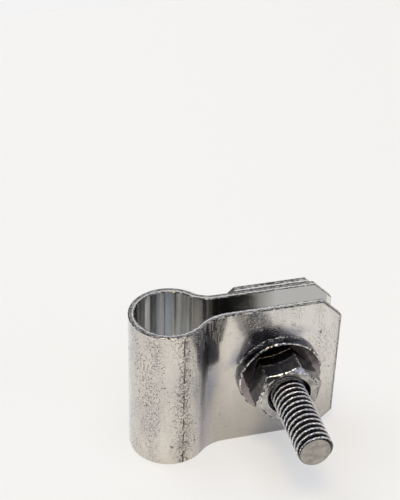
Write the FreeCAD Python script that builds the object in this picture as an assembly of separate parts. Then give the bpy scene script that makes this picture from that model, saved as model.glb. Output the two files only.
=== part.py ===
import FreeCAD, Part
import math
import os

Vector = FreeCAD.Vector

os.makedirs("parts", exist_ok=True)

# Earthing pipe clamp: a strap bent round the pipe, a clamp plate, and a bolt with its washer and nut.
# Millimetres. Z is the pipe's axis, with z = 0 at the strap's lower edge and the origin on the axis.
# X runs from the pipe towards the ear ends, and the bolt lies along Y with its nut on the -Y side.

# Strap
bore_diameter = 18.6            # inside of the loop, before it is pulled on to its pipe
sheet_thickness = 1.8
strap_width = 45.0              # width of the strip, measured along the pipe
ear_gap = 6.5                   # clear space between the two ears
nut_side_bend = 10.9            # outside radius of the neck bend on the nut's side
head_side_bend = 6.9            # outside radius of the neck bend on the bolt head's side
ear_margin = 1.7                # how far the ears reach past the plate
ear_corner = 5.3                # cut-off corners of the ears

# Clamp plate
plate_width = 31.0
plate_thickness = 2.5
plate_inset = 0.2               # the plate stands this far inside each edge of the strip
plate_corner = 5.2
neck_clearance = 1.2            # from the neck bend to the plate's edge
washer_clearance = 0.5          # from the neck bend to the washer's rim, at the least

# Bolt, washer and nut
thread_diameter = 10.0
bolt_length = 45.0              # under the head
wrench_size = 17.0              # across the flats of the head and of the nut
head_height = 6.4
washer_face = 0.5               # thin round pad under the head
washer_face_inset = 0.6         # pad radius, inside the flats
tip_chamfer = 0.8
nut_height = 8.0
nut_mouth = 0.5                 # countersink at each end of the nut's bore
washer_diameter = 24.0
washer_thickness = 2.2
washer_edge = 0.5               # chamfer on the washer's outer rim
corner_break = 0.45             # how far inside the flats the round face of a hexagon starts
corner_slope = 30.0             # degrees, the slope that takes off a hexagon's corners
head_turn = -2.0                # degrees, how the head's corners stand
nut_turn = 13.0                 # degrees, how the nut's corners stand

# Fits
thread_play = 0.15              # crest of the bolt's thread under the nominal diameter
hole_play = 1.0                 # bolt holes in the ears and the plate
washer_play = 0.5               # washer's hole


def neck_reach(bend):
    """Distance from the pipe axis to where a neck bend runs out into the flat ear."""
    outer = bore_diameter / 2 + sheet_thickness
    rise = ear_gap / 2 + sheet_thickness + bend
    return math.sqrt((outer + bend) ** 2 - rise ** 2)


# Places that follow from the sizes
plate_start = neck_reach(head_side_bend) + neck_clearance
washer_start = neck_reach(nut_side_bend) + washer_clearance
bolt_x = max(plate_start + plate_width / 2, washer_start + washer_diameter / 2)
bolt_z = strap_width / 2
ear_end = bolt_x + plate_width / 2 + ear_margin
ear_face = ear_gap / 2 + sheet_thickness
plate_face = ear_face + plate_thickness
washer_top = ear_face + washer_thickness
hole_diameter = thread_diameter + hole_play


def neck_points(side, bend):
    """Points along one side of the strap: loop, neck bend and ear, on the outer and the inner face."""
    outer = bore_diameter / 2 + sheet_thickness
    centre = Vector(neck_reach(bend), side * (ear_face + bend), 0)
    loop_angle = math.atan2(centre.y, centre.x)
    to_loop = Vector(math.cos(loop_angle), math.sin(loop_angle), 0)
    to_ear = Vector(0, -side, 0)
    half_way = (to_ear - to_loop).normalize()
    faces = []
    for loop_radius, bend_radius in ((outer, bend), (outer - sheet_thickness, bend + sheet_thickness)):
        on_loop = to_loop * loop_radius
        on_bend = centre + half_way * bend_radius
        on_ear = centre + to_ear * bend_radius
        faces.append((on_loop, on_bend, on_ear, Vector(ear_end, on_ear.y, 0)))
    return faces


def strap_section():
    """Section of the bent strip: one closed wire of arcs and straight runs."""
    nut_outer, nut_inner = neck_points(-1, nut_side_bend)
    head_outer, head_inner = neck_points(1, head_side_bend)
    edges = []
    for nut_side, head_side in ((nut_outer, head_outer), (nut_inner, head_inner)):
        loop_back = Vector(-nut_side[0].Length, 0, 0)
        edges.append(Part.LineSegment(nut_side[3], nut_side[2]).toShape())
        edges.append(Part.Arc(nut_side[2], nut_side[1], nut_side[0]).toShape())
        edges.append(Part.Arc(nut_side[0], loop_back, head_side[0]).toShape())
        edges.append(Part.Arc(head_side[0], head_side[1], head_side[2]).toShape())
        edges.append(Part.LineSegment(head_side[2], head_side[3]).toShape())
    edges.append(Part.LineSegment(nut_outer[3], nut_inner[3]).toShape())
    edges.append(Part.LineSegment(head_outer[3], head_inner[3]).toShape())
    return Part.Face(Part.Wire(Part.sortEdges(edges)[0]))


def cut_corners(shape, size, corners):
    """Cut the corners of a sheet, given by the x and z of the edges that run through it."""
    chosen = []
    for edge in shape.Edges:
        middle = edge.CenterOfMass
        along_y = abs(edge.tangentAt(edge.FirstParameter).y) > 0.999
        at_corner = any(math.hypot(middle.x - x, middle.z - z) < 0.01 for x, z in corners)
        if along_y and at_corner:
            chosen.append(edge)
    return shape.makeChamfer(size, chosen)


def bolt_hole(diameter):
    """A cylinder on the bolt's axis, long enough to cut through ears and plate."""
    start = Vector(bolt_x, -bolt_length, bolt_z)
    return Part.makeCylinder(diameter / 2, 2 * bolt_length, start, Vector(0, 1, 0))


def pipe_strap():
    """One strip of sheet: the loop for the pipe, two neck bends and two flat ears with a bolt hole."""
    strip = strap_section().extrude(Vector(0, 0, strap_width))
    strip = cut_corners(strip, ear_corner, ((ear_end, 0), (ear_end, strap_width)))
    return strip.cut(bolt_hole(hole_diameter))


def clamp_plate():
    """Flat plate between the bolt head and the ear, with its four corners cut off."""
    height = strap_width - 2 * plate_inset
    low_x = bolt_x - plate_width / 2
    high_x = bolt_x + plate_width / 2
    plate = Part.makeBox(plate_width, plate_thickness, height, Vector(low_x, ear_face, plate_inset))
    low_z = plate_inset
    high_z = plate_inset + height
    corners = ((low_x, low_z), (high_x, low_z), (low_x, high_z), (high_x, high_z))
    plate = cut_corners(plate, plate_corner, corners)
    return plate.cut(bolt_hole(hole_diameter))


def hexagon(start_y, height, turn):
    """Hexagonal prism on the bolt's axis, from start_y along +Y."""
    corner_radius = wrench_size / math.sqrt(3)
    points = []
    for corner in range(7):
        angle = math.radians(turn + 60 * corner)
        points.append(Vector(bolt_x + corner_radius * math.cos(angle), start_y,
                             bolt_z + corner_radius * math.sin(angle)))
    return Part.Face(Part.makePolygon(points)).extrude(Vector(0, height, 0))


def turned(profile):
    """Solid turned on the bolt's axis from (radius, y) points."""
    points = [Vector(bolt_x + radius, y, bolt_z) for radius, y in profile]
    section = Part.Face(Part.makePolygon(points + points[:1]))
    return section.revolve(Vector(bolt_x, 0, bolt_z), Vector(0, 1, 0), 360)


def hex_bolt():
    """Hex head with its corners turned off, a thin pad under it, and a shank with a chamfered tip."""
    head_top = plate_face + head_height
    tip = plate_face - bolt_length
    face_radius = wrench_size / 2 - corner_break
    corner_radius = wrench_size / math.sqrt(3) + corner_break
    drop = (corner_radius - face_radius) * math.tan(math.radians(corner_slope))
    shank_radius = (thread_diameter - thread_play) / 2
    under_head = plate_face + washer_face
    head = hexagon(under_head, head_height - washer_face, head_turn)
    head = head.common(turned([(0, under_head), (corner_radius, under_head), (corner_radius, head_top - drop),
                               (face_radius, head_top), (0, head_top)]))
    pad = Part.makeCylinder(wrench_size / 2 - washer_face_inset, washer_face,
                            Vector(bolt_x, plate_face, bolt_z), Vector(0, 1, 0))
    shank = turned([(0, tip), (shank_radius - tip_chamfer, tip), (shank_radius, tip + tip_chamfer),
                    (shank_radius, under_head), (0, under_head)])
    return head.fuse([pad, shank]).removeSplitter()


def flat_washer():
    """Turned washer between the nut and the ear, with its rim chamfered on the nut's side."""
    bore = (thread_diameter + washer_play) / 2
    rim = washer_diameter / 2
    return turned([(bore, -ear_face), (rim, -ear_face), (rim, washer_edge - washer_top),
                   (rim - washer_edge, -washer_top), (bore, -washer_top)])


def hex_nut():
    """Hex nut with both ends turned off at the corners and both mouths of its bore countersunk."""
    seat = -washer_top
    end = seat - nut_height
    bore = thread_diameter / 2
    face_radius = wrench_size / 2 - corner_break
    corner_radius = wrench_size / math.sqrt(3) + corner_break
    drop = (corner_radius - face_radius) * math.tan(math.radians(corner_slope))
    envelope = turned([(bore + nut_mouth, end), (face_radius, end), (corner_radius, end + drop),
                       (corner_radius, seat - drop), (face_radius, seat), (bore + nut_mouth, seat),
                       (bore, seat - nut_mouth), (bore, end + nut_mouth)])
    return hexagon(end, nut_height, nut_turn).common(envelope)


def main():
    pieces = {
        "pipe_strap": pipe_strap(),
        "clamp_plate": clamp_plate(),
        "hex_bolt": hex_bolt(),
        "flat_washer": flat_washer(),
        "hex_nut": hex_nut(),
    }
    for name, shape in pieces.items():
        solids = shape.Solids
        if not shape.isValid() or len(solids) != 1:
            raise ValueError(name + " is not one sound solid")
        solids[0].exportStep("parts/" + name + ".step")
        box = shape.BoundBox
        print(name, round(shape.Volume, 1), [round(v, 2) for v in (
            box.XMin, box.YMin, box.ZMin, box.XMax, box.YMax, box.ZMax)])


main()
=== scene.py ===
import bpy
import math

from mathutils import Matrix, Vector


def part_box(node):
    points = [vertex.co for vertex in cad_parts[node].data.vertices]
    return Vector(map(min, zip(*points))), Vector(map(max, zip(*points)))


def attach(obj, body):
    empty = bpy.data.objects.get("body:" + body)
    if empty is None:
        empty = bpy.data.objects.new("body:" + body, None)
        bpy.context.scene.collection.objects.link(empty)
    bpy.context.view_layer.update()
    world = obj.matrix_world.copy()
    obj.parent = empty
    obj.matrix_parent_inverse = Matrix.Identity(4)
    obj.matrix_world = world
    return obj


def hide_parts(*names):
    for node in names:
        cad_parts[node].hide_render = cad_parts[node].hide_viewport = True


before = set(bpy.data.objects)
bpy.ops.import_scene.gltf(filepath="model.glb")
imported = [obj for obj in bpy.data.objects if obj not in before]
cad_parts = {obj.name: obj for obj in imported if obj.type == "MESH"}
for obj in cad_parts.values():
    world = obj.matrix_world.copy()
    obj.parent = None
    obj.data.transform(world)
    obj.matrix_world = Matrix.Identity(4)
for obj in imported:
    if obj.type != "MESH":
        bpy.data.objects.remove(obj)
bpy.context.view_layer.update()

# The strap: one strip of steel sheet, sheared to width, bent round a bar and then bright zinc plated.
# It has a loop for the pipe, a neck bend on each side and two flat ears with a hole for the bolt.
# Its faces are satin with fine pits; its sheared edges are coarse, with a rolled and a torn side.
MM = 0.001
SHEET = 1.8 * MM
EAR_GAP = 6.5 * MM
NUT_SIDE_BEND = 10.9 * MM
HEAD_SIDE_BEND = 6.9 * MM
EAR_CORNER = 5.3 * MM
BOLT_HOLE = 11.0 * MM
SHEARED_ROUND = 0.22 * MM
NEAR = 0.05 * MM
LOOP_STEPS = 120
NECK_STEPS = 18

strap_low, strap_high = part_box("pipe_strap")
nut_low, nut_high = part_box("hex_nut")
strap_width = strap_high.z - strap_low.z
outer_radius = -strap_low.x
middle_radius = outer_radius - SHEET / 2
ear_y = (EAR_GAP + SHEET) / 2
bolt_x = (nut_low.x + nut_high.x) / 2
bolt_z = (nut_low.z + nut_high.z) / 2


def only(piece):
    """Deselects everything but one piece and makes it active."""
    bpy.ops.object.select_all(action="DESELECT")
    piece.select_set(True)
    bpy.context.view_layer.objects.active = piece


def started(name, size=(1, 1, 1)):
    """Names and sizes the primitive that was just added, with its place moved into its mesh."""
    piece = bpy.context.object
    piece.name = name
    piece.data.name = name
    piece.scale = size
    only(piece)
    bpy.ops.object.transform_apply(location=True, rotation=True, scale=True)
    return piece


def shaped(piece, kind, **settings):
    """Adds a modifier with its settings and applies it."""
    only(piece)
    modifier = piece.modifiers.new(kind.lower(), kind)
    for name, value in settings.items():
        setattr(modifier, name, value)
    bpy.ops.object.modifier_apply(modifier=modifier.name)


def pick_edges(piece, test):
    """Goes into edit mode with the edges selected whose middle passes the test."""
    only(piece)
    bpy.ops.object.mode_set(mode="EDIT")
    bpy.ops.mesh.select_mode(type="EDGE")
    bpy.ops.mesh.select_all(action="DESELECT")
    bpy.ops.object.mode_set(mode="OBJECT")
    points = piece.data.vertices
    for edge in piece.data.edges:
        first, second = edge.vertices
        edge.select = test((points[first].co + points[second].co) / 2)
    bpy.ops.object.mode_set(mode="EDIT")


def pick_all(piece):
    """Goes into edit mode with the whole piece selected."""
    only(piece)
    bpy.ops.object.mode_set(mode="EDIT")
    bpy.ops.mesh.select_all(action="SELECT")


def closed(piece):
    """Merges doubles and turns the faces outward."""
    pick_all(piece)
    bpy.ops.mesh.remove_doubles(threshold=0.002 * MM)
    bpy.ops.mesh.normals_make_consistent(inside=False)
    bpy.ops.object.mode_set(mode="OBJECT")


def trimmed(piece, point, outward):
    """Cuts off what lies outside a plane and fills the cut."""
    pick_all(piece)
    bpy.ops.mesh.bisect(plane_co=point, plane_no=outward, use_fill=True, clear_outer=True,
                        threshold=1e-8)
    bpy.ops.object.mode_set(mode="OBJECT")


def combined(piece, tool, operation):
    """Cuts a piece with a second solid, keeps what both share, or joins them, and removes the second."""
    shaped(piece, "BOOLEAN", object=tool, operation=operation, solver="EXACT")
    bpy.data.objects.remove(tool)


def shaded(piece, sharp=50):
    """Shades a piece smooth up to an angle in degrees, with the normals of its widest faces kept."""
    only(piece)
    bpy.ops.object.shade_smooth_by_angle(angle=math.radians(sharp))
    shaped(piece, "WEIGHTED_NORMAL", weight=80, keep_sharp=True)


def rounded(piece, width, steps=3, angle=25):
    """Rounds the edges that turn by more than an angle in degrees."""
    shaped(piece, "BEVEL", width=width, segments=steps, limit_method="ANGLE",
           angle_limit=math.radians(angle), use_clamp_overlap=False)


def turned(name, rings, sides=96, turn=0.0):
    """Turns a solid on the bolt's axis from (radius, y) rings; one that ends at its start has a bore."""
    radius, y = rings[0]
    bored = rings[0] == rings[-1]
    bpy.ops.object.select_all(action="DESELECT")
    bpy.ops.mesh.primitive_circle_add(
        vertices=sides, radius=radius, location=(bolt_x, y, bolt_z), rotation=(math.pi / 2, turn, 0),
        fill_type="NOTHING" if bored else "NGON")
    piece = started(name)
    pick_all(piece)
    for next_radius, next_y in rings[1:]:
        move = {"value": (0, next_y - y, 0)}
        grow = next_radius / radius
        if bored:
            bpy.ops.mesh.extrude_edges_move(TRANSFORM_OT_translate=move)
        else:
            bpy.ops.mesh.extrude_region_move(TRANSFORM_OT_translate=move)
        bpy.ops.transform.resize(value=(grow, 1, grow), center_override=(bolt_x, next_y, bolt_z))
        radius, y = next_radius, next_y
    bpy.ops.object.mode_set(mode="OBJECT")
    closed(piece)
    return piece


def drilled(piece):
    """Cuts the bolt's hole through a sheet."""
    reach = 20 * MM
    drill = turned("bolt_hole", ((BOLT_HOLE / 2, -reach), (BOLT_HOLE / 2, reach)))
    combined(piece, drill, "DIFFERENCE")


def bend_on(piece, end, centre, angle, steps):
    """Carries the strip's open end, at an x and y, round an upright axis and returns its new place."""
    pick_edges(piece, lambda middle: (middle.xy - end).length < NEAR)
    bpy.ops.mesh.spin(steps=steps, angle=-angle, center=(centre.x, centre.y, 0), axis=(0, 0, 1))
    bpy.ops.object.mode_set(mode="OBJECT")
    return centre + Matrix.Rotation(angle, 2) @ (end - centre)


def neck_centre(side, bend):
    """Centre of a neck bend, which touches the loop and runs out into the ear."""
    rise = ear_y + SHEET / 2 + bend
    return Vector((math.sqrt((outer_radius + bend) ** 2 - rise ** 2), side * rise))


nut_neck = neck_centre(-1, NUT_SIDE_BEND)
head_neck = neck_centre(1, HEAD_SIDE_BEND)
nut_bend_turn = math.pi / 2 - math.atan2(-nut_neck.y, nut_neck.x)
head_bend_turn = math.pi / 2 - math.atan2(head_neck.y, head_neck.x)
loop_turn = -(math.pi + nut_bend_turn + head_bend_turn)

bpy.ops.object.select_all(action="DESELECT")
bpy.ops.mesh.primitive_plane_add(size=1, rotation=(math.pi / 2, 0, 0),
                                 location=((strap_high.x + nut_neck.x) / 2, -ear_y, strap_width / 2))
strap = started("pipe_strap_sheet", size=(strap_high.x - nut_neck.x, strap_width, 1))
strip_end = Vector((nut_neck.x, -ear_y))
strip_end = bend_on(strap, strip_end, nut_neck, nut_bend_turn, NECK_STEPS)
strip_end = bend_on(strap, strip_end, Vector((0, 0)), loop_turn, LOOP_STEPS)
strip_end = bend_on(strap, strip_end, head_neck, head_bend_turn, NECK_STEPS)
pick_edges(strap, lambda middle: (middle.xy - strip_end).length < NEAR)
bpy.ops.mesh.extrude_region_move(TRANSFORM_OT_translate={"value": (strap_high.x - strip_end.x, 0, 0)})
bpy.ops.object.mode_set(mode="OBJECT")
closed(strap)
shaped(strap, "SOLIDIFY", thickness=SHEET, offset=0, use_rim=True)
for edge_z, slope in ((0, -1), (strap_width, 1)):
    trimmed(strap, (strap_high.x - EAR_CORNER, 0, edge_z), (1, 0, slope))
drilled(strap)
rounded(strap, SHEARED_ROUND)
shaded(strap)


def linear(colour):
    """An sRGB hex colour as linear light."""
    parts = [int(colour[at:at + 2], 16) / 255 for at in (1, 3, 5)]
    return [part / 12.92 if part <= 0.04045 else ((part + 0.055) / 1.055) ** 2.4 for part in parts] + [1]


def feed(tree, node, inputs):
    """Sets a node's inputs, each to a value, a socket, or the first output in use of another node."""
    for name, value in inputs.items():
        if isinstance(value, bpy.types.Node):
            value = next(output for output in value.outputs if output.enabled)
        if isinstance(value, bpy.types.NodeSocket):
            tree.links.new(value, node.inputs[name])
        else:
            node.inputs[name].default_value = value


def add(tree, kind, inputs=None, **settings):
    """Adds a node with its settings and with what feeds its inputs."""
    node = tree.nodes.new(kind)
    for name, value in settings.items():
        setattr(node, name, value)
    feed(tree, node, inputs or {})
    return node


def per_mm(size):
    """Scale of a texture whose grain measures this many millimetres."""
    return 1 / (size * MM)


def begun(name):
    """A new material: its tree, its shader and its place on the object."""
    material = bpy.data.materials.new(name)
    material.use_nodes = True
    tree = material.node_tree
    place = add(tree, "ShaderNodeTexCoord").outputs["Object"]
    return material, tree, tree.nodes["Principled BSDF"], place


def distance_from(tree, value, middle):
    """How far a value lies from a middle one, to either side."""
    off = add(tree, "ShaderNodeMath", {0: value, 1: middle}, operation="SUBTRACT")
    return add(tree, "ShaderNodeMath", {0: off}, operation="ABSOLUTE")


def bolt_radius(tree, place):
    """Distance from the bolt's axis."""
    across = add(tree, "ShaderNodeVectorMath", {0: place, 1: (bolt_x, 0, bolt_z)}, operation="SUBTRACT")
    flat = add(tree, "ShaderNodeVectorMath", {0: across, 1: (1, 0, 1)}, operation="MULTIPLY")
    return add(tree, "ShaderNodeVectorMath", {0: flat}, operation="LENGTH")


def where_all(tree, first, *others):
    """A mask that shows only where all of these masks show."""
    shared = first
    for mask in others:
        shared = add(tree, "ShaderNodeMath", {0: shared, 1: mask}, operation="MULTIPLY")
    return shared


# Bright zinc on rolled sheet: a satin metal that blurs what it mirrors. Its grey is warmer round the
# loop and bluer in the neck, in clouds drawn out along the pipe, as the sheet was rolled and bent.
# The stains and painted light gather what lies over that grey, from below to above: each is a mask and a
# colour.
# A mix takes its share as input 0, and its two colours as 6 and 7, or its two places as 4 and 5.
zinc_sheet, tree, shader, place = begun("bright_zinc_plated_sheet")
place_x, place_y, place_z = add(tree, "ShaderNodeSeparateXYZ", {"Vector": place}).outputs
upright = add(tree, "ShaderNodeMapping", {"Vector": place, "Scale": (1.0, 1.0, 0.35)})
cloud = add(tree, "ShaderNodeTexNoise", {"Vector": upright, "Scale": per_mm(6), "Detail": 4.0})
cloudy = add(tree, "ShaderNodeMapRange", {"Value": cloud, "From Min": 0.35, "From Max": 0.65})
zinc_colour = add(tree, "ShaderNodeMix", {0: cloudy, 6: linear("#DDD8D0"), 7: linear("#CBC8C4")},
                  data_type="RGBA")
stains_and_painted_light = []
# The first tint is a painted reflection, a pale blue sheen down the loop's outermost left side; the
# second lightens the ears towards their ends.
for low, high, tint, share in ((-10.2, -11.1, "#DADAE2", 0.6), (15.0, 24.0, "#E0DEDA", 0.9)):
    toned = add(tree, "ShaderNodeMapRange", {
        "Value": place_x, "From Min": low * MM, "From Max": high * MM, "To Max": share})
    stains_and_painted_light.append((toned, tint))

# A dark stripe runs up the neck on the nut's side, a painted reflection of the nut and washer, with a
# pale band before it and a faint violet painted sheen beside it. The dark stripe fades out below. Its
# three strips each have a middle and a reach in mm, a colour, and how much they show.
DARK_STRIP_X = 7.7
nut_side = add(tree, "ShaderNodeMath", {0: place_y, 1: 0.0}, operation="LESS_THAN")
risen = add(tree, "ShaderNodeMapRange", {
    "Value": place_z, "From Min": 10 * MM, "From Max": 28 * MM, "To Min": 0.2})
patchy = add(tree, "ShaderNodeMapRange", {
    "Value": cloud, "From Min": 0.35, "From Max": 0.65, "To Min": 0.5})
patchy = where_all(tree, patchy, nut_side)
for middle, reach, tint, shown in ((6.5, 3.5, "#D8D9DD", 1.0), (DARK_STRIP_X, 1.6, "#74767E", risen),
                                   (9.9, 1.8, "#BDBCC8", 1.0)):
    painted_strip = add(tree, "ShaderNodeMapRange", {
        "Value": distance_from(tree, place_x, middle * MM), "From Min": reach * MM, "From Max": 0.0,
        "To Max": shown}, interpolation_type="SMOOTHSTEP")
    stains_and_painted_light.append((where_all(tree, painted_strip, patchy), tint))

# In the neck's hollow the painted dark reflection of the nut and washer goes on upward, darkest above.
HOLLOW_X = 8.5 * MM
wedge_height = add(tree, "ShaderNodeMapRange", {
    "Value": place_z, "From Min": 23 * MM, "From Max": 32 * MM, "To Max": 0.85})
painted_wedge = add(tree, "ShaderNodeMapRange", {
    "Value": distance_from(tree, place_x, HOLLOW_X), "From Min": 1.4 * MM, "From Max": 0.2 * MM,
    "To Max": wedge_height}, interpolation_type="SMOOTHSTEP")
stains_and_painted_light.append((where_all(tree, painted_wedge, nut_side), "#484952"))

# Low on the ear the zinc is painted a little greyer: a painted reflection of the shadowed floor before
# it.
low_down = add(tree, "ShaderNodeMapRange", {
    "Value": place_z, "From Min": 18 * MM, "From Max": 2 * MM, "To Max": 0.7})
low_ear_reflection = add(tree, "ShaderNodeMapRange", {
    "Value": place_x, "From Min": 8 * MM, "From Max": 12 * MM, "To Max": low_down})
stains_and_painted_light.append((low_ear_reflection, "#BAB9B8"))

# Specks: grime in the fine pores of the plating, in patches; each is about a third of a millimetre.
# The neck and the flat beside it have few, because the bending tool pressed them smooth, and so has
# the head's side. The ears' ends have many.
PRESSED_X = 18 * MM
patch = add(tree, "ShaderNodeTexNoise", {"Vector": upright, "Scale": per_mm(5), "Detail": 3.0})
pitted = add(tree, "ShaderNodeMapRange", {
    "Value": patch, "From Min": 0.38, "From Max": 0.60, "To Min": 0.15})
unpressed = add(tree, "ShaderNodeMapRange", {
    "Value": distance_from(tree, place_x, PRESSED_X), "From Min": 9 * MM, "From Max": 13 * MM,
    "To Min": 0.3})
rougher_side = add(tree, "ShaderNodeMapRange", {
    "Value": place_y, "From Min": 2 * MM, "From Max": -6 * MM, "To Min": 0.3})
at_end = add(tree, "ShaderNodeMapRange", {
    "Value": place_x, "From Min": strap_high.x - 2.4 * MM, "From Max": strap_high.x - 0.8 * MM})
patches = add(tree, "ShaderNodeMath", {
    0: where_all(tree, pitted, unpressed, rougher_side), 1: at_end}, operation="MAXIMUM")
grain = add(tree, "ShaderNodeTexNoise", {
    "Vector": place, "Scale": per_mm(0.36), "Detail": 3.0, "Roughness": 0.7})
grains = add(tree, "ShaderNodeMapRange", {"Value": grain, "From Min": 0.54, "From Max": 0.63})
specks = where_all(tree, grains, patches)

# Short crooked cracks, which follow the contour lines of a noise and show in the same patches.
wander = add(tree, "ShaderNodeTexNoise", {
    "Vector": place, "Scale": per_mm(1.3), "Detail": 2.0, "Distortion": 0.8})
crooked = add(tree, "ShaderNodeMapRange", {
    "Value": distance_from(tree, wander, 0.5), "From Min": 0.05, "From Max": 0.025})
cracks = where_all(tree, crooked, grains, patches)

# A nick here and there, from tools and other clamps, each a short dark scar.
scatter = add(tree, "ShaderNodeTexNoise", {"Vector": place, "Scale": per_mm(0.6), "Detail": 3.0})
strayed = add(tree, "ShaderNodeMix", {0: 3 * MM, 4: place, 5: scatter.outputs["Color"]},
              data_type="VECTOR")
nick = add(tree, "ShaderNodeTexVoronoi", {"Vector": strayed, "Scale": per_mm(3.6)})
nicks = add(tree, "ShaderNodeMapRange", {
    "Value": nick, "From Min": 0.13, "From Max": 0.08, "To Max": unpressed})

# The bending tool's edge left a band of cracks up the loop, where it meets the nut's side neck, with
# one thin crooked line along its middle.
BAND_ANGLE = math.radians(-81)
BAND_WIDTH = 1.3 * MM
BOW = 1.0 * MM
on_loop = add(tree, "ShaderNodeMath", {0: place_y, 1: -5 * MM}, operation="LESS_THAN")
bow = add(tree, "ShaderNodeTexNoise", {"Vector": place, "Scale": per_mm(3), "Detail": 3.0})
bowed = add(tree, "ShaderNodeMix", {0: BOW, 4: place, 5: bow.outputs["Color"]}, data_type="VECTOR")
across_band = add(tree, "ShaderNodeVectorMath", {
    0: bowed, 1: (-math.sin(BAND_ANGLE), math.cos(BAND_ANGLE), 0)}, operation="DOT_PRODUCT")
from_band = distance_from(tree, across_band, BOW / 2)
band = add(tree, "ShaderNodeMapRange", {
    "Value": from_band, "From Min": 1.6 * BAND_WIDTH, "From Max": 0.5 * BAND_WIDTH, "To Max": 0.75})
seam = add(tree, "ShaderNodeMapRange", {
    "Value": from_band, "From Min": 0.22 * MM, "From Max": 0.12 * MM})
gaps = add(tree, "ShaderNodeMapRange", {"Value": bow, "From Min": 0.46, "From Max": 0.56})
strokes = add(tree, "ShaderNodeMath", {0: crooked, 1: grains}, operation="MAXIMUM")
banded = add(tree, "ShaderNodeMath", {
    0: where_all(tree, band, strokes), 1: where_all(tree, seam, gaps)}, operation="MAXIMUM")
banded = where_all(tree, banded, on_loop)

# The tool's end scratched the top of the neck: short upright strokes, some bright and some brown.
stretched = add(tree, "ShaderNodeMapping", {"Vector": place, "Scale": (1.0, 1.0, 0.15)})
scratches = add(tree, "ShaderNodeTexNoise", {
    "Vector": stretched, "Scale": per_mm(0.5), "Detail": 2.0})
near_top = add(tree, "ShaderNodeMapRange", {
    "Value": place_z, "From Min": strap_width - 9 * MM, "From Max": strap_width - 5 * MM})
near_neck = add(tree, "ShaderNodeMapRange", {
    "Value": distance_from(tree, place_x, 9.5 * MM), "From Min": 4 * MM, "From Max": 2 * MM})
neck_top = where_all(tree, near_top, near_neck, nut_side)
for low, high, tint in ((0.45, 0.40, "#54402E"), (0.55, 0.60, "#FFFFFF")):
    stroke = add(tree, "ShaderNodeMapRange", {"Value": scratches, "From Min": low, "From Max": high})
    stains_and_painted_light.append((where_all(tree, stroke, neck_top), tint))
surface = add(tree, "ShaderNodeBump", {
    "Height": scratches, "Distance": 0.22 * MM, "Strength": neck_top})

# The washer's sharp rim tore the zinc above it as the nut was tightened: a narrow arc of bright burrs,
# in a bluish grey halo of painted shade above the washer.
BURR_REACH = 12.9 * MM
radius = bolt_radius(tree, place)
burr_ring = add(tree, "ShaderNodeMapRange", {
    "Value": radius, "From Min": BURR_REACH, "From Max": BURR_REACH - 0.5 * MM})
from_bolt = add(tree, "ShaderNodeVectorMath", {0: place, 1: (bolt_x, 0, bolt_z)}, operation="SUBTRACT")
uphill = add(tree, "ShaderNodeVectorMath", {0: from_bolt, 1: (-0.37, 0, 0.93)},
             operation="DOT_PRODUCT")
above_bolt = add(tree, "ShaderNodeMapRange", {
    "Value": uphill, "From Min": 8.5 * MM, "From Max": 11 * MM})
shade_halo = add(tree, "ShaderNodeMapRange", {
    "Value": radius, "From Min": 18 * MM, "From Max": 12.5 * MM, "To Max": above_bolt},
    interpolation_type="SMOOTHSTEP")
stains_and_painted_light.append((where_all(tree, shade_halo, nut_side), "#9C9DAA"))
burr = add(tree, "ShaderNodeTexNoise", {"Vector": place, "Scale": per_mm(0.45), "Detail": 2.0})
burrs = add(tree, "ShaderNodeMapRange", {
    "Value": burr, "From Min": 0.48, "From Max": 0.58, "To Max": above_bolt})
burrs = where_all(tree, burrs, burr_ring, nut_side)

# The cropping tool nibbled the ears' ends: a ragged dark line follows their outline.
from_centre = distance_from(tree, place_z, strap_width / 2)
corner_excess = add(tree, "ShaderNodeMath", {0: from_centre, 1: EAR_CORNER - strap_width / 2})
corner_excess = add(tree, "ShaderNodeMath", {0: corner_excess, 1: 0.0}, operation="MAXIMUM")
to_outline = add(tree, "ShaderNodeMath", {0: place_x, 1: corner_excess})
outline = add(tree, "ShaderNodeMapRange", {
    "Value": to_outline, "From Min": strap_high.x - 0.8 * MM, "From Max": strap_high.x - 0.4 * MM})
nibbles = add(tree, "ShaderNodeMapRange", {"Value": grain, "From Min": 0.46, "From Max": 0.54})
nibbled = where_all(tree, outline, nibbles)

# Each scar is a mask, a colour and a depth in mm, and makes the zinc duller. Under the scars the sheet
# is a little wavy, with fine lines drawn along the pipe by the rolls.
SCAR_DULLNESS = 0.35
scars = ((specks, "#6E685E", 0.03), (cracks, "#484038", 0.03), (nibbled, "#3E3934", 0.04),
         (banded, "#645E56", 0.02), (nicks, "#4A443E", 0.05))
rolled = add(tree, "ShaderNodeMapping", {"Vector": place, "Scale": (1.0, 1.0, 0.02)})
roll_lines = add(tree, "ShaderNodeTexNoise", {"Vector": rolled, "Scale": per_mm(0.7), "Detail": 3.0})
waves = add(tree, "ShaderNodeTexNoise", {"Vector": place, "Scale": per_mm(3.5), "Detail": 2.0})
for height, depth, sunk in ((waves, 0.03, False), (roll_lines, 0.004, False), (burrs, 0.6, False),
                            *((mask, depth, True) for mask, tint, depth in scars)):
    surface = add(tree, "ShaderNodeBump", {
        "Height": height, "Distance": depth * MM, "Normal": surface}, invert=sunk)
for mask, tint in (*stains_and_painted_light, *((mask, tint) for mask, tint, depth in scars), (burrs, "#FFF8E8")):
    zinc_colour = add(tree, "ShaderNodeMix", {0: mask, 6: zinc_colour, 7: linear(tint)},
                      data_type="RGBA")
satin = add(tree, "ShaderNodeMapRange", {"Value": cloud, "To Min": 0.12, "To Max": 0.22})
pressed = add(tree, "ShaderNodeMapRange", {"Value": unpressed, "To Min": 0.6})
satin = add(tree, "ShaderNodeMath", {0: satin, 1: pressed}, operation="MULTIPLY")
dullest = add(tree, "ShaderNodeMapRange", {
    "Value": place_z, "From Min": 26 * MM, "From Max": 12 * MM, "To Min": 0.22, "To Max": 0.5})
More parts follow.
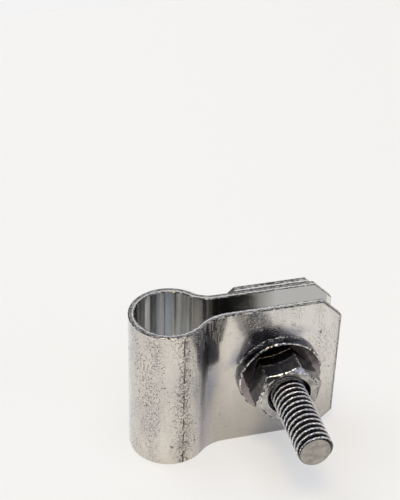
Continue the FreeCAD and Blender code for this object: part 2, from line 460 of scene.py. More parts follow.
dull = add(tree, "ShaderNodeMapRange", {
    "Value": distance_from(tree, place_x, DARK_STRIP_X * MM), "From Min": 2.4 * MM,
    "From Max": 0.2 * MM, "To Max": dullest}, interpolation_type="SMOOTHSTEP")
satin = add(tree, "ShaderNodeMath", {0: satin, 1: where_all(tree, dull, nut_side)})
for mask, tint, depth in scars:
    satin = add(tree, "ShaderNodeMath", {0: mask, 1: SCAR_DULLNESS, 2: satin}, operation="MULTIPLY_ADD")
feed(tree, shader, {"Base Color": zinc_colour, "Roughness": satin, "Normal": surface, "Metallic": 1.0})

# The sheet's other side lay against the bar: smoother, in bands of a bluer and a browner grey, with
# fine bright and dark lines drawn along the pipe. Between the ears, where it wasn't bent, it is even.
inner_zinc, tree, shader, place = begun("bright_zinc_inner_face")
drawn = add(tree, "ShaderNodeMapping", {"Vector": place, "Scale": (1.0, 1.0, 0.012)})
bands = add(tree, "ShaderNodeTexNoise", {"Vector": drawn, "Scale": per_mm(4), "Detail": 1.0})
banding = add(tree, "ShaderNodeMapRange", {"Value": bands, "From Min": 0.42, "From Max": 0.58})
inner_colour = add(tree, "ShaderNodeMix", {0: banding, 6: linear("#E8EBF0"), 7: linear("#F0EEE8")},
                   data_type="RGBA")
lines = add(tree, "ShaderNodeTexNoise", {
    "Vector": drawn, "Scale": per_mm(1.0), "Detail": 3.0, "Roughness": 0.65})
inner_x = add(tree, "ShaderNodeSeparateXYZ", {"Vector": place}).outputs["X"]
bent = add(tree, "ShaderNodeMapRange", {"Value": inner_x, "From Min": 20 * MM, "From Max": 12 * MM})
inner_colour = add(tree, "ShaderNodeMix", {0: bent, 6: linear("#E0DFDC"), 7: inner_colour},
                   data_type="RGBA")
for low, high, tint in ((0.42, 0.34, "#8A8E96"), (0.58, 0.66, "#FAF9F6")):
    line = add(tree, "ShaderNodeMapRange", {
        "Value": lines, "From Min": low, "From Max": high, "To Max": bent})
    inner_colour = add(tree, "ShaderNodeMix", {0: line, 6: inner_colour, 7: linear(tint)},
                       data_type="RGBA")
most = add(tree, "ShaderNodeMapRange", {"Value": bent, "To Min": 0.09, "To Max": 0.22})
least = add(tree, "ShaderNodeMapRange", {"Value": bent, "To Min": 0.09, "To Max": 0.06})
sheen = add(tree, "ShaderNodeMapRange", {"Value": lines, "To Min": least, "To Max": most})
relief = add(tree, "ShaderNodeBump", {"Height": lines, "Distance": 0.03 * MM, "Strength": bent})
feed(tree, shader, {"Base Color": inner_colour, "Roughness": sheen, "Normal": relief, "Metallic": 1.0})


def across_strip(point):
    """Where a point lies through the sheet: -1 on its inner face, 1 on its outer face."""
    neck, bend = (nut_neck, NUT_SIDE_BEND) if point.y < 0 else (head_neck, HEAD_SIDE_BEND)
    if point.x > neck.x:
        depth = abs(point.y) - ear_y
    elif abs(math.atan2(point.y, point.x)) < abs(math.atan2(neck.y, neck.x)):
        depth = bend + SHEET / 2 - (point.xy - neck).length
    else:
        depth = point.xy.length - middle_radius
    return depth / (SHEET / 2)


def mark_across(piece, across):
    """Stores on every point where it lies through the sheet, for the finish of the sheared edge."""
    marks = piece.data.attributes.new("across", "FLOAT", "POINT")
    for point, mark in zip(piece.data.vertices, marks.data):
        mark.value = across(point.co)


mark_across(strap, across_strip)


def sheared(name, tear, zinc, rim, line, depth):
    """Sheared edge under its zinc: torn and whole patches, a burnished line along it, and darker
    borders, which on the long edges are near black painted shade.
    """
    material, tree, shader, place = begun(name)
    torn = add(tree, "ShaderNodeMapping", {"Vector": place, "Scale": (0.5, 1.0, 1.0)})
    tears = add(tree, "ShaderNodeTexNoise", {
        "Vector": torn, "Scale": per_mm(0.5), "Detail": 3.0, "Roughness": 0.7})
    whole = add(tree, "ShaderNodeMapRange", {"Value": tears, "From Min": 0.42, "From Max": 0.58})
    colour = add(tree, "ShaderNodeMix", {0: whole, 6: linear(tear), 7: linear(zinc)}, data_type="RGBA")
    across = add(tree, "ShaderNodeAttribute", attribute_name="across").outputs["Fac"]
    ragged = add(tree, "ShaderNodeTexNoise", {
        "Vector": place, "Scale": per_mm(0.55), "Detail": 4.0, "Roughness": 0.7})
    frayed = add(tree, "ShaderNodeMath", {0: ragged, 1: 0.9, 2: across}, operation="MULTIPLY_ADD")
    frayed = add(tree, "ShaderNodeMath", {0: frayed, 1: 0.1}, operation="SUBTRACT")
    # The second zone darkens the borders: near black painted shade on the long edges.
    for middle, outside, inside, tint in ((0.0, 0.24, 0.12, line), (0.35, 0.62, 0.82, rim)):
        zone = add(tree, "ShaderNodeMapRange", {
            "Value": distance_from(tree, frayed, middle), "From Min": outside, "From Max": inside})
        colour = add(tree, "ShaderNodeMix", {0: zone, 6: colour, 7: linear(tint)}, data_type="RGBA")
    relief = add(tree, "ShaderNodeBump", {"Height": tears, "Distance": depth * MM})
    feed(tree, shader, {"Base Color": colour, "Roughness": 0.34, "Normal": relief, "Metallic": 1.0})
    return material


def rolled_over(name, bare_and_shade):
    """Rim that the shear rolled over: thin smooth zinc that mirrors in fine lines, in patches over a
    second colour, which is bare steel on the cropped rims and near black painted shade on the sheared
    ones.
    """
    material, tree, shader, place = begun(name)
    wear = add(tree, "ShaderNodeTexNoise", {"Vector": place, "Scale": per_mm(0.7), "Detail": 3.0})
    kept = add(tree, "ShaderNodeMapRange", {"Value": wear, "From Min": 0.50, "From Max": 0.58})
    colour = add(tree, "ShaderNodeMix", {0: kept, 6: linear(bare_and_shade), 7: linear("#DAD7D0")},
                 data_type="RGBA")
    feed(tree, shader, {"Base Color": colour, "Roughness": 0.28, "Metallic": 1.0})
    return material


# The strip's long edges were slit by a blunt tool, so they glitter light and dark; their rims and
# borders are painted near black, painted shade that outlines them. Its ends and corners were cropped
# with a sharp one: cream grey, almost even, with a calm rim on the inner side, and burrs on the outer.
sheared_zinc = sheared("zinc_plated_sheared_edge", "#4A4642", "#D2CFCA", "#0E0D0C", "#FFFFFF", 0.035)
cropped_zinc = sheared("zinc_plated_cropped_edge", "#A8A49C", "#D8D4CA", "#8A857C", "#E6E2D8", 0.015)
sheared_rim = rolled_over("zinc_and_painted_shade_on_sheared_rim", "#1E1C1A")
cropped_rim = rolled_over("zinc_on_cropped_rim", "#A8A59D")


def finished(piece, finishes):
    """Gives a piece its materials; each face takes the last one whose test it passes."""
    for at, (material, test) in enumerate(finishes):
        piece.data.materials.append(material)
        for face in piece.data.polygons:
            if test(face):
                face.material_index = at


# These tests tell faces apart by their place and by how far their normal points along x, y or z.
def everywhere(face):
    """On any face of the piece."""
    return True


def is_inside(face):
    """On the side of the sheet that faces the pipe, or the other ear."""
    past_loop = face.center.x > nut_neck.x - 5 * MM
    between_ears = past_loop and abs(face.center.y) < EAR_GAP / 2 + NEAR
    return between_ears or face.center.xy.length < outer_radius - SHEET + NEAR


def is_sheared(face):
    """On the strip's rim, rounding included."""
    at_end = face.normal.x > 0.3 and face.center.x > strap_high.x - 2 * EAR_CORNER
    return at_end or abs(face.normal.z) > 0.3


def is_rolled_over(face):
    """On the rounding of the rim."""
    sideways = abs(face.normal.y) if face.center.x > nut_neck.x else face.normal.xy.length
    return is_sheared(face) and sideways > 0.15


def is_cropped(face):
    """On an end of the strip or a cropped corner, rather than on a long edge."""
    return abs(face.normal.z) < 0.8 and abs(face.normal.x) > 0.5


def is_calm_rim(face):
    """On the rounding of an end, on the side that faces the other ear."""
    return is_rolled_over(face) and abs(face.normal.z) < 0.3 and abs(face.center.y) < ear_y


finished(strap, ((zinc_sheet, everywhere), (inner_zinc, is_inside), (sheared_zinc, is_sheared),
                 (cropped_zinc, lambda face: is_sheared(face) and is_cropped(face)),
                 (sheared_rim, is_rolled_over), (cropped_rim, is_calm_rim)))
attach(strap, "strap")
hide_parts("pipe_strap")

# The clamp plate: a small flat plate of thicker sheet with its corners cropped, plated like the strap.
# The bolt's head pulls it against the ear, so that the thin ear doesn't bend.
PLATE_CORNER = 5.2 * MM
PLATE_ROUND = 0.22 * MM
plate_low, plate_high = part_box("clamp_plate")
bpy.ops.object.select_all(action="DESELECT")
bpy.ops.mesh.primitive_cube_add(size=1, location=(plate_low + plate_high) / 2)
plate = started("clamp_plate_sheet", size=plate_high - plate_low)
for corner_x, side_x in ((plate_low.x, -1), (plate_high.x, 1)):
    for corner_z, side_z in ((plate_low.z, -1), (plate_high.z, 1)):
        trimmed(plate, (corner_x - side_x * PLATE_CORNER, 0, corner_z), (side_x, 0, side_z))
drilled(plate)
rounded(plate, PLATE_ROUND)
shaded(plate)

# Its zinc is flatter and bluer than the strap's and has fine scratches, most of them across the plate.
# Each kind of scratch has a slant in degrees, a stretch, and how much it shows.
plate_zinc, tree, shader, place = begun("bright_zinc_scratched_plate")
haze = add(tree, "ShaderNodeTexNoise", {"Vector": place, "Scale": per_mm(7), "Detail": 4.0})
plate_colour = add(tree, "ShaderNodeMix", {0: haze, 6: linear("#AEB3BD"), 7: linear("#D2D3D4")},
                   data_type="RGBA")
surface = None
for slant, stretch, share in ((12, 0.06, 0.4), (-35, 0.12, 0.25), (70, 0.12, 0.25)):
    leaning = add(tree, "ShaderNodeMapping", {"Vector": place, "Rotation": (0, math.radians(slant), 0)})
    combed = add(tree, "ShaderNodeMapping", {"Vector": leaning, "Scale": (stretch, 1.0, 1.0)})
    hair = add(tree, "ShaderNodeTexNoise", {"Vector": combed, "Scale": per_mm(0.22), "Detail": 1.0})
    hairs = add(tree, "ShaderNodeMapRange", {
        "Value": hair, "From Min": 0.66, "From Max": 0.74, "To Max": share})
    plate_colour = add(tree, "ShaderNodeMix", {0: hairs, 6: plate_colour, 7: linear("#F0F0EE")},
                       data_type="RGBA")
    below = {"Normal": surface} if surface else {}
    surface = add(tree, "ShaderNodeBump", {"Height": hairs, "Distance": 0.02 * MM, **below}, invert=True)
dulled = add(tree, "ShaderNodeMapRange", {"Value": haze, "To Min": 0.10, "To Max": 0.24})
feed(tree, shader, {"Base Color": plate_colour, "Roughness": dulled, "Normal": surface, "Metallic": 1.0})

plate_middle = (plate_low.y + plate_high.y) / 2
mark_across(plate, lambda point: (point.y - plate_middle) / (plate_high.y - plate_middle))
finished(plate, ((plate_zinc, everywhere), (sheared_rim, lambda face: abs(face.normal.y) < 0.95),
                 (cropped_rim, lambda face: abs(face.normal.y) < 0.95 and abs(face.normal.z) < 0.3),
                 (sheared_zinc, lambda face: abs(face.normal.y) < 0.1),
                 (cropped_zinc, lambda face: abs(face.normal.y) < 0.1 and is_cropped(face))))
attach(plate, "plate")
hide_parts("clamp_plate")

# The bolt: a hexagon-head bolt of cold-forged steel with its thread rolled up to the head.
# Its head has a thin round pad below and corners turned off above; its tip is cut flat and chamfered.
# Its turns are drawn 1.8 mm apart, coarser than the usual 1.5 mm, as they look on the real one.
WRENCH_SIZE = 17.0 * MM
CORNER_BREAK = 0.45 * MM
CORNER_SLOPE = math.radians(30)
PAD_HEIGHT = 0.5 * MM
PAD_INSET = 0.6 * MM
HEAD_ROUND = 0.15 * MM
INTO_HEAD = 2 * MM
BOLT_LENGTH = 45.0 * MM
CREST_RADIUS = 4.92 * MM
THREAD_DEPTH = 1.05 * MM
THREAD_SPACING = 1.8 * MM
THREAD_SIDES = 72
THREAD_END = 1.5 * MM
NECK_LENGTH = 2.5 * MM
TIP_RADIUS = 4.4 * MM
TIP_SLOPE = 0.6 * MM
CLEAR = 0.2 * MM
HEAD_TURN = math.radians(-2)
bolt_low, bolt_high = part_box("hex_bolt")
tip_y = bolt_low.y
pad_y = tip_y + BOLT_LENGTH
pad_radius = WRENCH_SIZE / 2 - PAD_INSET
root_radius = CREST_RADIUS - THREAD_DEPTH
face_radius = WRENCH_SIZE / 2 - CORNER_BREAK
corner_radius = WRENCH_SIZE / math.sqrt(3)
past_corner = corner_radius + CORNER_BREAK
corner_drop = (past_corner - face_radius) * math.tan(CORNER_SLOPE)


def hexagon(name, from_y, to_y, turn):
    """A hexagonal prism on the bolt's axis."""
    rings = ((corner_radius, from_y), (corner_radius, to_y))
    return turned(name, rings, sides=6, turn=turn + math.pi / 6)


bolt = hexagon("hex_bolt_steel", pad_y + PAD_HEIGHT, bolt_high.y, -HEAD_TURN)
combined(bolt, turned("envelope", ((past_corner, pad_y), (past_corner, bolt_high.y - corner_drop),
                                   (face_radius, bolt_high.y))), "INTERSECT")
combined(bolt, turned("pad", ((pad_radius, pad_y), (pad_radius, pad_y + INTO_HEAD))), "UNION")
rounded(bolt, HEAD_ROUND, angle=20)

# One spacing of the thread's outline, extruded point by point, is carried round and along the axis.
# Each step is given outward in thread depths and along in spacings: groove, flank, crest and back.
bpy.ops.object.select_all(action="DESELECT")
bpy.ops.mesh.primitive_plane_add(size=MM, location=(bolt_x, tip_y - THREAD_SPACING, bolt_z))
thread = bpy.context.object
bpy.ops.object.mode_set(mode="EDIT")
bpy.ops.mesh.select_mode(type="VERT")
bpy.ops.mesh.select_all(action="SELECT")
bpy.ops.mesh.merge(type="CENTER")
bpy.ops.transform.translate(value=(root_radius, 0, 0))
for outward, along in ((0, 0.04), (0.10, 0.05), (0.74, 0.27), (0.10, 0.045), (0.06, 0.045), (0, 0.10),
                       (-0.06, 0.045), (-0.10, 0.045), (-0.74, 0.27), (-0.10, 0.05), (0, 0.04)):
    bpy.ops.mesh.extrude_region_move(TRANSFORM_OT_translate={"value": (
        outward * THREAD_DEPTH, along * THREAD_SPACING, 0)})
bpy.ops.object.mode_set(mode="OBJECT")
thread_turns = math.ceil(BOLT_LENGTH / THREAD_SPACING) + 2
shaped(thread, "SCREW", axis="Y", screw_offset=THREAD_SPACING, iterations=thread_turns,
       steps=THREAD_SIDES, render_steps=THREAD_SIDES, use_merge_vertices=False)
thread = started("thread")
closed(thread)
trimmed(thread, (0, tip_y, 0), (0, -1, 0))
trimmed(thread, (0, pad_y - THREAD_END, 0), (0, 1, 0))
closed(thread)
combined(thread, turned("tip", (
    (TIP_RADIUS, tip_y - 0.01 * MM), (CREST_RADIUS + CLEAR, tip_y + TIP_SLOPE),
    (CREST_RADIUS + CLEAR, pad_y))), "INTERSECT")
combined(thread, turned("neck", (
    (root_radius + CLEAR, pad_y - NECK_LENGTH), (root_radius + CLEAR, pad_y + INTO_HEAD / 2))), "UNION")
combined(bolt, thread, "UNION")
shaded(bolt, sharp=40)


def forged(name, dark, pale, rubbed, shown, scored):
    """Forged and tumbled steel under thin oil: nearly a mirror, with die lines along the bolt."""
    material, tree, shader, place = begun(name)
    stain = add(tree, "ShaderNodeTexNoise", {"Vector": place, "Scale": per_mm(3), "Detail": 3.0})
    colour = add(tree, "ShaderNodeMix", {0: stain, 6: linear(dark), 7: linear(pale)}, data_type="RGBA")
    pulled = add(tree, "ShaderNodeMapping", {"Vector": place, "Scale": (1.0, 0.1, 1.0)})
    streak = add(tree, "ShaderNodeTexNoise", {"Vector": pulled, "Scale": per_mm(0.5), "Detail": 3.0})
    streaks = add(tree, "ShaderNodeMapRange", {
        "Value": streak, "From Min": 0.56, "From Max": 0.68, "To Max": shown})
    colour = add(tree, "ShaderNodeMix", {0: streaks, 6: colour, 7: linear(rubbed)}, data_type="RGBA")
    polish = add(tree, "ShaderNodeMapRange", {"Value": stain, "To Min": 0.06, "To Max": 0.16})
    relief = add(tree, "ShaderNodeBump", {"Height": streak, "Distance": scored * MM})
    feed(tree, shader, {"Base Color": colour, "Roughness": polish, "Normal": relief, "Metallic": 1.0})
    return material


def faced(name, dark, bright, ringed):
    """Steel turned across its end: fine rings round the bolt's axis, smudged here and there."""
    material, tree, shader, place = begun(name)
    rings = add(tree, "ShaderNodeTexNoise", {
        "W": bolt_radius(tree, place), "Scale": per_mm(0.4), "Detail": 2.0}, noise_dimensions="1D")
    patchy = add(tree, "ShaderNodeTexNoise", {"Vector": place, "Scale": per_mm(2), "Detail": 4.0})
    blend = add(tree, "ShaderNodeMath", {0: rings, 1: ringed, 2: patchy}, operation="MULTIPLY_ADD")
    clean = add(tree, "ShaderNodeMapRange", {
        "Value": blend, "From Min": 0.3 + 0.45 * ringed, "From Max": 0.7 + 0.55 * ringed})
    colour = add(tree, "ShaderNodeMix", {0: clean, 6: linear(dark), 7: linear(bright)}, data_type="RGBA")
    relief = add(tree, "ShaderNodeBump", {"Height": rings, "Distance": 0.006 * MM})
    feed(tree, shader, {"Base Color": colour, "Roughness": 0.16, "Normal": relief, "Metallic": 1.0})
    return material


# The head is browner than the nut: its oil has baked on.
head_steel = forged("forged_stainless_steel_brown_oil", "#827358", "#B3A282", "#E6DABC", 0.6, 0.03)
head_face_steel = faced("faced_stainless_steel_brown_oil", "#55504D", "#6C6763", 0.45)

# The thread's crests are rubbed bright and scuffed; its grooves are painted near black as shade.
thread_steel, tree, shader, place = begun("rolled_stainless_steel_thread")
worn = add(tree, "ShaderNodeTexNoise", {
    "Vector": place, "Scale": per_mm(0.4), "Detail": 2.0, "Roughness": 0.7})
uneven = add(tree, "ShaderNodeMath", {0: worn, 1: 0.8 * MM, 2: bolt_radius(tree, place)},
             operation="MULTIPLY_ADD")
rubbed = add(tree, "ShaderNodeMapRange", {
    "Value": uneven, "From Min": root_radius + 1.05 * THREAD_DEPTH,
    "From Max": root_radius + 1.32 * THREAD_DEPTH})
thread_colour = add(tree, "ShaderNodeMix", {0: rubbed, 6: linear("#1C1A1A"), 7: linear("#FCFCFF")},
                    data_type="RGBA")
thread_polish = add(tree, "ShaderNodeMapRange", {"Value": worn, "To Min": 0.32, "To Max": 0.04})
pits = add(tree, "ShaderNodeBump", {"Height": worn, "Distance": 0.36 * MM})
scuffs = add(tree, "ShaderNodeTexNoise", {"Vector": place, "Scale": per_mm(0.24), "Detail": 1.0})
relief = add(tree, "ShaderNodeBump", {"Height": scuffs, "Distance": 0.26 * MM, "Normal": pits})
feed(tree, shader, {
    "Base Color": thread_colour, "Roughness": thread_polish, "Normal": relief, "Metallic": 1.0})

# The tip was cropped flat: a dull, slightly torn face.
cropped_steel, tree, shader, place = begun("cropped_stainless_steel_tip")
smear = add(tree, "ShaderNodeTexNoise", {"Vector": place, "Scale": per_mm(1.6), "Detail": 4.0})
tip_colour = add(tree, "ShaderNodeMix", {0: smear, 6: linear("#6C6762"), 7: linear("#C6C3BC")},
                 data_type="RGBA")
relief = add(tree, "ShaderNodeBump", {"Height": smear, "Distance": 0.05 * MM})
feed(tree, shader, {"Base Color": tip_colour, "Roughness": 0.35, "Normal": relief, "Metallic": 1.0})

finished(bolt, ((head_steel, everywhere), (head_face_steel, lambda face: face.normal.y > 0.95),
                (thread_steel, lambda face: face.center.y < pad_y - 2 * MM),
                (cropped_steel, lambda face: face.center.y < tip_y + 0.01 * MM)))
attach(bolt, "bolt")
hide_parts("hex_bolt")

# The washer: a flat ring punched from steel sheet, which spreads the nut's force on the thin ear.
# Punching rounds its rim on the side that faces the nut. Its rings go round its section, from the ear.
WASHER_BORE = 10.5 * MM
WASHER_ROUND = 0.06 * MM
RIM_ROLL = 0.5 * MM
RIM_BREAK = 0.1 * MM
HOLE_BREAK = 0.2 * MM
washer_low, washer_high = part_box("flat_washer")
washer_rim = (washer_high.x - washer_low.x) / 2
washer_hole = WASHER_BORE / 2
washer = turned("flat_washer_steel", (
    (washer_hole, washer_high.y), (washer_rim - RIM_BREAK, washer_high.y),
    (washer_rim, washer_high.y - RIM_BREAK), (washer_rim, washer_low.y + RIM_ROLL),
    (washer_rim - 0.3 * RIM_ROLL, washer_low.y + 0.3 * RIM_ROLL), (washer_rim - RIM_ROLL, washer_low.y),
    (washer_hole + HOLE_BREAK, washer_low.y), (washer_hole, washer_low.y + HOLE_BREAK),
    (washer_hole, washer_high.y)), sides=144)
rounded(washer, WASHER_ROUND, steps=2)
shaded(washer)

# The nut and the washer's rim are the head's steel, painted dark as shade, while the nut's flat ends are
# painted pale as lit.
nut_steel_painted_shade = forged("forged_stainless_steel_painted_shade", "#3C3938", "#54565E", "#8E8D90", 0.45, 0.012)

# The corners and rims of nut and washer are rubbed bright by wrenches and painted paler still as a
# highlight, with a little oil in the dents.
rubbed_and_highlit_edge, tree, shader, place = begun("rubbed_steel_edge_painted_highlight")
dents = add(tree, "ShaderNodeTexNoise", {
    "Vector": place, "Scale": per_mm(0.7), "Detail": 3.0, "Roughness": 0.7})
bright = add(tree, "ShaderNodeMapRange", {"Value": dents, "From Min": 0.46, "From Max": 0.56})
edge_colour = add(tree, "ShaderNodeMix", {0: bright, 6: linear("#2A2826"), 7: linear("#E8E6E2")},
                  data_type="RGBA")
relief = add(tree, "ShaderNodeBump", {"Height": dents, "Distance": 0.08 * MM})
feed(tree, shader, {"Base Color": edge_colour, "Roughness": 0.16, "Normal": relief, "Metallic": 1.0})

# The washer's face is painted dark over its upper half, thinning out to a dull, slightly violet steel
# below: a painted reflection.
REFLECTION_DRIFT = 14 * MM
washer_steel, tree, shader, place = begun("punched_stainless_steel_painted_reflection")
washer_z = add(tree, "ShaderNodeSeparateXYZ", {"Vector": place}).outputs["Z"]
washer_wave = add(tree, "ShaderNodeTexNoise", {"Vector": place, "Scale": per_mm(4), "Detail": 4.0})
drift = add(tree, "ShaderNodeMath", {0: washer_wave, 1: REFLECTION_DRIFT, 2: washer_z}, operation="MULTIPLY_ADD")
darker_above = add(tree, "ShaderNodeMapRange", {
    "Value": drift, "From Min": bolt_z - 1 * MM, "From Max": bolt_z + REFLECTION_DRIFT})
face_colour = add(tree, "ShaderNodeMix", {0: darker_above, 6: linear("#B2A9AC"), 7: linear("#3C3838")},
                  data_type="RGBA")
relief = add(tree, "ShaderNodeBump", {"Height": washer_wave, "Distance": 0.05 * MM})
feed(tree, shader, {"Base Color": face_colour, "Roughness": 0.12, "Normal": relief, "Metallic": 1.0})


def off_axis(face):
    """Distance of a face from the bolt's axis."""
    return (face.center - Vector((bolt_x, face.center.y, bolt_z))).length


def is_washer_edge(face):
    """On the washer's rim where it turns towards the nut."""
    return off_axis(face) > washer_rim - RIM_ROLL and face.normal.y < -0.1


def is_washer_rim(face):
    """On the washer's outermost face."""
    return off_axis(face) > washer_rim - RIM_BREAK and abs(face.normal.y) < 0.3


finished(washer, ((washer_steel, everywhere), (rubbed_and_highlit_edge, is_washer_edge), (nut_steel_painted_shade, is_washer_rim)))
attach(washer, "strap")
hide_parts("flat_washer")

# The nut: cold-forged steel, its corners turned off at both ends and its bore countersunk. It is
# screwed up to the washer. Its rings go round its section, from the mouth that faces the bolt's tip.
NUT_BORE = 10.0 * MM
NUT_MOUTH = 1.2 * MM
NUT_MOUTH_DEPTH = 1.6 * MM
NUT_ROUND = 0.28 * MM
NUT_TURN = math.radians(13)
nut_hole = NUT_BORE / 2
mouth_radius = nut_hole + NUT_MOUTH
nut = hexagon("hex_nut_steel", nut_low.y, nut_high.y, -NUT_TURN)
combined(nut, turned("envelope", (
    (mouth_radius, nut_low.y), (face_radius, nut_low.y), (past_corner, nut_low.y + corner_drop),
    (past_corner, nut_high.y - corner_drop), (face_radius, nut_high.y), (mouth_radius, nut_high.y),
    (nut_hole, nut_high.y - NUT_MOUTH_DEPTH), (nut_hole, nut_low.y + NUT_MOUTH_DEPTH),
    (mouth_radius, nut_low.y))), "INTERSECT")
rounded(nut, NUT_ROUND)
shaded(nut)


def is_corner_slope(face):
    """On a corner that was turned off."""
    return off_axis(face) > 8 * MM and 0.15 < abs(face.normal.y) < 0.86


def is_face_rim(face):
    """On the rounding round the nut's flat face."""
    return abs(off_axis(face) - face_radius) < 0.3 * MM and 0.88 < abs(face.normal.y) < 0.99


# The nut's flat ends: the same steel with turned rings, painted pale as lit faces.
nut_ends_painted_lit = faced("faced_stainless_steel", "#868483", "#CBCAC6", 0.45)
finished(nut, ((nut_steel_painted_shade, everywhere), (nut_ends_painted_lit, lambda face: abs(face.normal.y) > 0.8),
               (rubbed_and_highlit_edge, is_corner_slope), (rubbed_and_highlit_edge, is_face_rim),
               (rubbed_and_highlit_edge, lambda face: off_axis(face) > corner_radius - 0.25 * MM)))
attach(nut, "nut")
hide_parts("hex_nut")

# The floor: a sheet of matt white paper board, on which the clamp stands on its strap's edge.
# Much of what the camera and the metal see of it is its plain white, so the clamp's shadow is faint.
PAPER_WHITE = "#F3F3F3"
PAPER_GLOW = 0.6
MIRRORED_GLOW = 0.3
PAPER_SIZE = 0.6
bpy.ops.object.select_all(action="DESELECT")
bpy.ops.mesh.primitive_plane_add(size=PAPER_SIZE)
floor = started("floor")
board, tree, shader, place = begun("white_paper_board")
feed(tree, shader, {"Base Color": linear(PAPER_WHITE), "Roughness": 0.7, "Specular IOR Level": 0.0})
rays = add(tree, "ShaderNodeLightPath").outputs
mirrored = add(tree, "ShaderNodeMath", {0: rays["Is Glossy Ray"], 1: rays["Is Transmission Ray"]},
               operation="MAXIMUM")
seen = add(tree, "ShaderNodeMath", {0: rays["Is Camera Ray"], 1: PAPER_GLOW}, operation="MULTIPLY")
glowing = add(tree, "ShaderNodeMath", {0: mirrored, 1: MIRRORED_GLOW, 2: seen},
              operation="MULTIPLY_ADD")
white = add(tree, "ShaderNodeEmission", {"Color": linear(PAPER_WHITE), "Strength": 1.0})
paper = add(tree, "ShaderNodeMixShader", {0: glowing, 1: shader, 2: white})
feed(tree, tree.nodes["Material Output"], {"Surface": paper})
floor.data.materials.append(board)

# A pale strip stands between the ears, above the bolt, out of the camera's sight. It stands in for the
# light that comes past the bolt from below after more reflections than the picture follows.
STRIP_LIGHT = 0.65
STRIP_HEIGHT = 14 * MM
STRIP_DEPTH = 8 * MM
strip_start = bolt_x - 1.5 * MM
strip_place = ((strip_start + strap_high.x) / 2, 0, strap_width - STRIP_DEPTH)
bpy.ops.object.select_all(action="DESELECT")
bpy.ops.mesh.primitive_plane_add(size=1, rotation=(math.pi / 2, 0, 0), location=strip_place)
strip = started("light_between_ears", size=(strap_high.x - strip_start, 1, STRIP_HEIGHT))
pale_strip, tree, shader, place = begun("pale_strip")
strip_x = add(tree, "ShaderNodeSeparateXYZ", {"Vector": place}).outputs["X"]
fade = add(tree, "ShaderNodeMapRange", {
    "Value": strip_x, "From Min": strip_start, "From Max": strip_start + 4 * MM},
    interpolation_type="SMOOTHSTEP")
lit = add(tree, "ShaderNodeEmission", {"Color": linear(PAPER_WHITE), "Strength": STRIP_LIGHT})
faded = add(tree, "ShaderNodeMixShader", {0: fade, 1: add(tree, "ShaderNodeBsdfTransparent"), 2: lit})
feed(tree, tree.nodes["Material Output"], {"Surface": faded})
strip.data.materials.append(pale_strip)
strip.visible_camera = False
strip.visible_diffuse = False
strip.visible_shadow = False

# The light: a room with dim walls and a few soft lit patches, which the metal mirrors, and one lamp.
# Each patch is given by its direction, its reach from edge to middle as cosines, its colour and its
# strength.
ROOM_WALL = "#3A3D42"
ROOM_CEILING = "#6E6E70"
LIT_PATCHES = (((-0.50, 0.45, 0.75), 0.90, 0.97, "#EEF2FF", 0.9),
               ((0.66, -0.67, 0.24), 0.86, 0.97, "#D6D8EC", 1.1),
               ((-0.15, -0.36, 0.92), 0.987, 0.995, "#FFE4B4", 21.0),
               ((0.05, -0.50, 0.865), 0.966, 0.984, "#EEF3FF", 2.2),
               ((0.22, -0.06, 0.97), 0.980, 0.991, "#F2F6FF", 4.5),
               ((0.40, 0.80, 0.42), 0.90, 0.98, "#E8E8EA", 1.0))
world = bpy.data.worlds.new("dim_room")
bpy.context.scene.world = world
world.use_nodes = True
tree = world.node_tree
tree.nodes.clear()
direction = add(tree, "ShaderNodeTexCoord").outputs["Generated"]
upward = add(tree, "ShaderNodeSeparateXYZ", {"Vector": direction}).outputs["Z"]
rise = add(tree, "ShaderNodeMapRange", {"Value": upward, "From Min": 0.2, "From Max": 1.0},
           interpolation_type="SMOOTHSTEP")
room = add(tree, "ShaderNodeMix", {0: rise, 6: linear(ROOM_WALL), 7: linear(ROOM_CEILING)},
           data_type="RGBA")
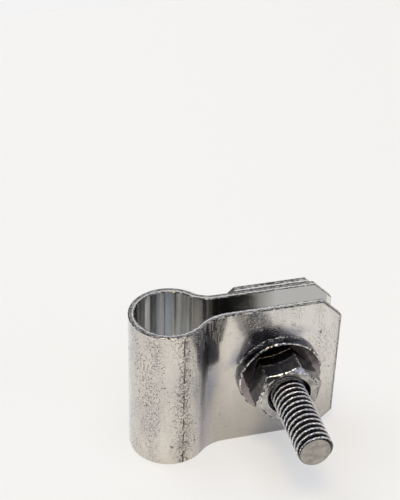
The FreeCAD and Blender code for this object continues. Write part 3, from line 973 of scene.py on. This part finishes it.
for towards, edge, middle, colour, strength in LIT_PATCHES:
    nearness = add(tree, "ShaderNodeVectorMath", {0: direction, 1: Vector(towards).normalized()},
                   operation="DOT_PRODUCT")
    lighted = add(tree, "ShaderNodeMapRange", {
        "Value": nearness, "From Min": edge, "From Max": middle, "To Max": strength},
        interpolation_type="SMOOTHSTEP")
    glow = add(tree, "ShaderNodeVectorMath", {0: linear(colour)[:3], "Scale": lighted},
               operation="SCALE")
    room = add(tree, "ShaderNodeVectorMath", {0: room, 1: glow}, operation="ADD")
lit_room = add(tree, "ShaderNodeBackground", {"Color": room, "Strength": 1.0})
pale_room = add(tree, "ShaderNodeBackground", {"Color": linear(PAPER_WHITE), "Strength": 1.0})
camera_ray = add(tree, "ShaderNodeLightPath").outputs["Is Camera Ray"]
backdrop = add(tree, "ShaderNodeMixShader", {0: camera_ray, 1: lit_room, 2: pale_room})
add(tree, "ShaderNodeOutputWorld", {"Surface": backdrop})

LAMP_PLACE = (-0.35, 0.25, 1.0)
LAMP_AIM = Vector((0.02, 0, 0.02))
lamp_data = bpy.data.lights.new("soft_lamp", "AREA")
lamp_data.shape = "DISK"
lamp_data.size = 0.8
lamp_data.energy = 4.3
lamp_data.color = (0.84, 0.92, 1.0)
lamp = bpy.data.objects.new("soft_lamp", lamp_data)
lamp.location = LAMP_PLACE
lamp.rotation_euler = (LAMP_AIM - lamp.location).to_track_quat("-Z", "Y").to_euler()
bpy.context.scene.collection.objects.link(lamp)

# The camera looks down on the nut's side of the clamp, which stands in the lower half of the picture.
CAMERA_PLACE = (-0.06141, -0.24924, 0.24450)
CAMERA_PAN = math.radians(-15.562)
CAMERA_DIP = math.radians(34.880)
CAMERA_ROLL = math.radians(1.496)
camera_data = bpy.data.cameras.new("camera")
camera_data.lens = 87.82
camera_data.sensor_width = 36
camera_data.clip_start = 0.01
camera = bpy.data.objects.new("camera", camera_data)
camera.location = CAMERA_PLACE
camera.rotation_euler = (Matrix.Rotation(CAMERA_PAN, 3, "Z")
                         @ Matrix.Rotation(math.pi / 2 - CAMERA_DIP, 3, "X")
                         @ Matrix.Rotation(CAMERA_ROLL, 3, "Z")).to_euler()
bpy.context.scene.collection.objects.link(camera)
bpy.context.scene.camera = camera
bpy.context.scene.view_settings.view_transform = "Standard"
